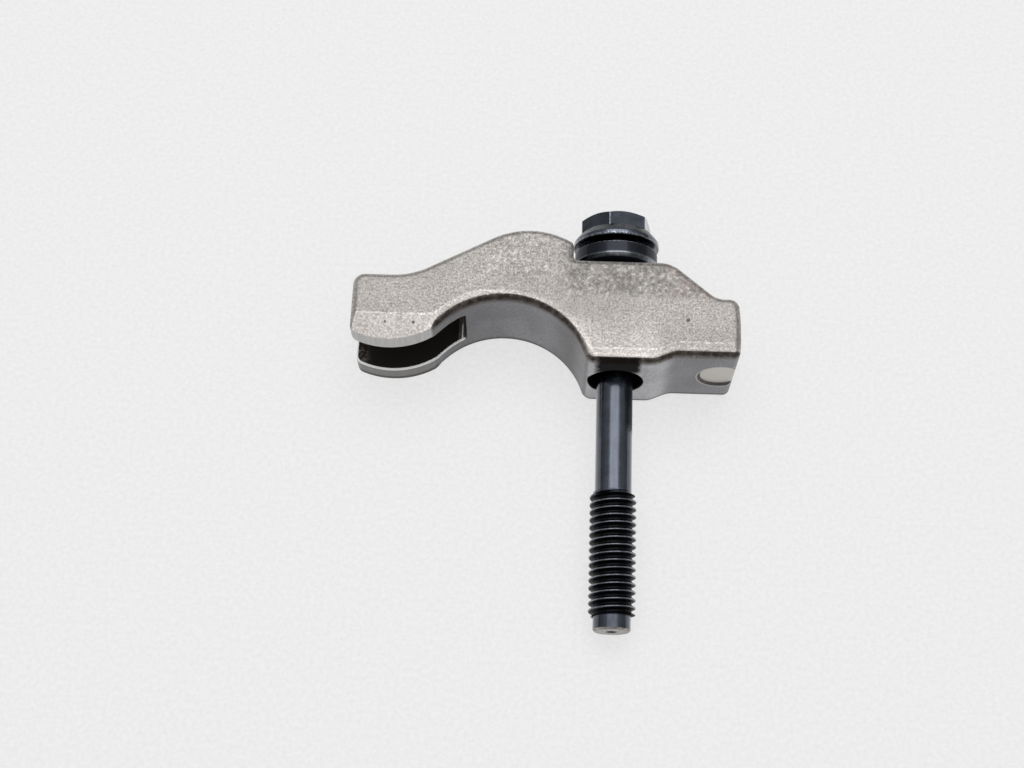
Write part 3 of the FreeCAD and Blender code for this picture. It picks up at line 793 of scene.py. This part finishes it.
def hexagon(shape):
    """The hexagon, turned down at its corners and chamfered on top."""
    top = shape.flange_height + shape.hex_height
    base = shape.flange_height / 2
    deselect()
    bpy.ops.mesh.primitive_cylinder_add(
        vertices=6, radius=shape.across_flats / math.sqrt(3), depth=top - base,
        location=(0, 0, (top + base) / 2), rotation=(0, 0, shape.hex_turn))
    made = bpy.context.object
    made.name = "hexagon"
    bpy.ops.object.transform_apply(location=True, rotation=True, scale=True)
    corner, edge = shape.across_corners / 2, shape.top_diameter / 2
    drop = (corner - edge) * math.tan(math.radians(30))
    limit = spin(draw_line("turning", [
        (0, 0),
        (corner, 0),
        (corner, top - drop),
        (edge, top),
        (0, top),
    ]), CORNER_STEPS)
    return combine(made, limit, "INTERSECT")


def paint_places(made, shape, materials):
    """Gives the hexagon's turned corners a pale finish that paints their highlight together with wear, and
    the bolt's end face its own finish, by place.
    """
    for material in materials:
        made.data.materials.append(material)
    inner = shape.across_corners / 2 * 0.999
    for face in made.data.polygons:
        out = Vector((face.center.x, face.center.y)).length
        on_hex = shape.flange_height + 0.0001 < face.center.z < shape.flange_height + shape.hex_height
        if face.center.z < -shape.length + 0.0002:
            face.material_index = 2
        elif on_hex and abs(face.normal.z) < 0.3 and out > inner:
            face.material_index = 1


class CLAMP_OT_claw(bpy.types.Operator):
    """Gives the forged claw its surface"""

    bl_idname = "injector_clamp.claw"
    bl_label = "Forged claw"

    def execute(self, context):
        claw = frame["nodes"]["clamp"]
        claw.data.materials.clear()
        claw.data.materials.append(forged_steel(context.scene.claw_finish))
        return {"FINISHED"}


class CLAMP_OT_bolt(bpy.types.Operator):
    """Models the waisted flange bolt with its rolled thread"""

    bl_idname = "injector_clamp.bolt"
    bl_label = "Flange bolt"

    def execute(self, context):
        shape = context.scene.bolt_shape
        look = context.scene.steel_finish
        thread = combine(screw_thread(shape), thread_limits(shape), "INTERSECT")
        bolt = combine(turned_body(shape), thread, "UNION")
        bolt = combine(bolt, hexagon(shape), "UNION")
        bolt.name = "waisted_flange_bolt"
        bolt.data.name = bolt.name
        if not bolt.data.polygons:
            raise RuntimeError("the bolt's pieces did not join")
        paint_places(bolt, shape, [
            blackened_steel("black_oxide_steel_bolt", look),
            # Pale corner finish: wear with a painted highlight
            bare_steel("worn_highlighted_steel_edge", look.corner_wear_and_highlight, 0.3),
            bare_steel("cut_steel_end", look.cut_end, 0.35),
        ])
        deselect()
        bolt.select_set(True)
        context.view_layer.objects.active = bolt
        bpy.ops.object.shade_smooth_by_angle(angle=SMOOTH_ANGLE)
        sideways = Vector((1, 0, 0))
        turn = Matrix((sideways, BOLT_AXIS.cross(sideways), BOLT_AXIS)).transposed().to_4x4()
        bolt.matrix_world = Matrix.Translation(FLANGE_CENTRE) @ turn
        bpy.ops.object.transform_apply(location=True, rotation=True, scale=True)
        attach(bolt, "bolt_body")
        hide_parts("bolt")
        return {"FINISHED"}


class CLAMP_OT_washer(bpy.types.Operator):
    """Gives the domed washer its surface"""

    bl_idname = "injector_clamp.washer"
    bl_label = "Domed washer"

    def execute(self, context):
        washer = frame["nodes"]["washer"]
        washer.data.materials.clear()
        washer.data.materials.append(
            blackened_steel("black_oxide_steel_washer", context.scene.steel_finish))
        return {"FINISHED"}


def light_panel(name, place, aim, size, radiance):
    """A square or oblong soft panel that gives this radiance."""
    deselect()
    bpy.ops.object.light_add(type="AREA", location=place)
    lamp = bpy.context.object
    lamp.name = name
    lamp.data.shape = "RECTANGLE"
    lamp.data.size, lamp.data.size_y = size
    lamp.data.energy = radiance * math.pi * size[0] * size[1]
    lamp.rotation_euler = (Vector(aim) - Vector(place)).to_track_quat("-Z", "Y").to_euler()
    lamp.visible_camera = False


class CLAMP_OT_stage(bpy.types.Operator):
    """Lays the floor and sets the light and the camera"""

    bl_idname = "injector_clamp.stage"
    bl_label = "Stage"

    def execute(self, context):
        look = context.scene.stage_look
        deselect()
        bpy.ops.mesh.primitive_plane_add(size=6.0, location=(0, 0, -0.00003))
        floor = context.object
        floor.name = "floor"
        material, tree = new_material("painted_table")
        place = add(tree, "ShaderNodeTexCoord")
        mottle = add(tree, "ShaderNodeTexNoise", place.outputs["Object"], named={
            "Scale": 1300.0, "Detail": 4.0, "Roughness": 0.65})
        tone = add(tree, "ShaderNodeMapRange", mottle, 0.3, 0.7, 0.945, 1.03)
        toned = add(tree, "ShaderNodeVectorMath", linear(look.floor)[:3], None, None, tone,
                    operation="SCALE")
        shader = add(tree, "ShaderNodeBsdfPrincipled", named={
            "Base Color": toned.outputs[0], "Roughness": 0.55, "Specular IOR Level": 0.25})
        pale = add(tree, "ShaderNodeEmission", toned.outputs[0], look.floor_glow)
        ray = add(tree, "ShaderNodeLightPath")
        seen = add(tree, "ShaderNodeMath", ray.outputs["Is Camera Ray"], ray.outputs["Is Glossy Ray"],
                   operation="ADD")
        seen = add(tree, "ShaderNodeMath", seen, ray.outputs["Is Transmission Ray"], operation="ADD",
                   use_clamp=True)
        share = add(tree, "ShaderNodeMath", seen, look.floor_share, operation="MULTIPLY")
        mixed = add(tree, "ShaderNodeMixShader", share, shader, pale)
        add(tree, "ShaderNodeOutputMaterial", mixed)
        floor.data.materials.append(material)

        world = bpy.data.worlds.new("room")
        context.scene.world = world
        world.use_nodes = True
        world.node_tree.nodes.clear()
        way = add(world.node_tree, "ShaderNodeTexCoord")
        upward = add(world.node_tree, "ShaderNodeSeparateXYZ", way.outputs["Generated"])
        light = add(world.node_tree, "ShaderNodeMapRange", upward.outputs[2], 0.0, 0.8,
                    look.horizon, look.sky)
        room = add(world.node_tree, "ShaderNodeBackground", (1.0, 1.0, 1.0, 1.0), light)
        add(world.node_tree, "ShaderNodeOutputWorld", room)
        light_panel("soft_box", (0.0, 0.29, 0.62), (-0.012, 0.0, 0.0), (0.62, 0.40), look.key)
        light_panel("overhead", (0.0, 0.10, 1.25), (0.0, 0.0, 0.0), (1.5, 1.5), look.top)

        deselect()
        bpy.ops.object.camera_add(location=CAMERA_PLACE)
        camera = context.object
        camera.name = "camera"
        aim = Vector(CAMERA_AIM) - camera.location
        camera.rotation_euler = aim.to_track_quat("-Z", "Y").to_euler()
        camera.data.sensor_width = 36.0
        camera.data.lens = CAMERA_LENS
        camera.data.clip_start = 0.005
        context.scene.camera = camera
        context.scene.view_settings.view_transform = "Standard"
        return {"FINISHED"}


class CLAMP_PT_panel(bpy.types.Panel):
    """Lists the pieces of the clamp"""

    bl_idname = "CLAMP_PT_panel"
    bl_label = "Fuel injector clamp"
    bl_space_type = "VIEW_3D"
    bl_region_type = "UI"
    bl_category = "Clamp"

    def draw(self, context):
        for step in STEPS:
            self.layout.operator(step.bl_idname)
        for group in GROUPS:
            box = self.layout.box()
            settings = getattr(context.scene, group)
            for name in settings.bl_rna.properties.keys():
                if name not in ("rna_type", "name"):
                    box.prop(settings, name)


STEPS = (CLAMP_OT_claw, CLAMP_OT_bolt, CLAMP_OT_washer, CLAMP_OT_stage)
GROUPS = {
    "claw_finish": ClawFinish,
    "bolt_shape": BoltShape,
    "steel_finish": SteelFinish,
    "stage_look": StageLook,
}


def register():
    for kind in (*GROUPS.values(), *STEPS, CLAMP_PT_panel):
        bpy.utils.register_class(kind)
    for name, kind in GROUPS.items():
        setattr(bpy.types.Scene, name, bpy.props.PointerProperty(type=kind))


def unregister():
    for name in GROUPS:
        delattr(bpy.types.Scene, name)
    for kind in reversed((*GROUPS.values(), *STEPS, CLAMP_PT_panel)):
        bpy.utils.unregister_class(kind)


def main():
    register()
    bpy.ops.injector_clamp.claw()
    bpy.ops.injector_clamp.bolt()
    bpy.ops.injector_clamp.washer()
    bpy.ops.injector_clamp.stage()


if __name__ == "__main__":
    main()
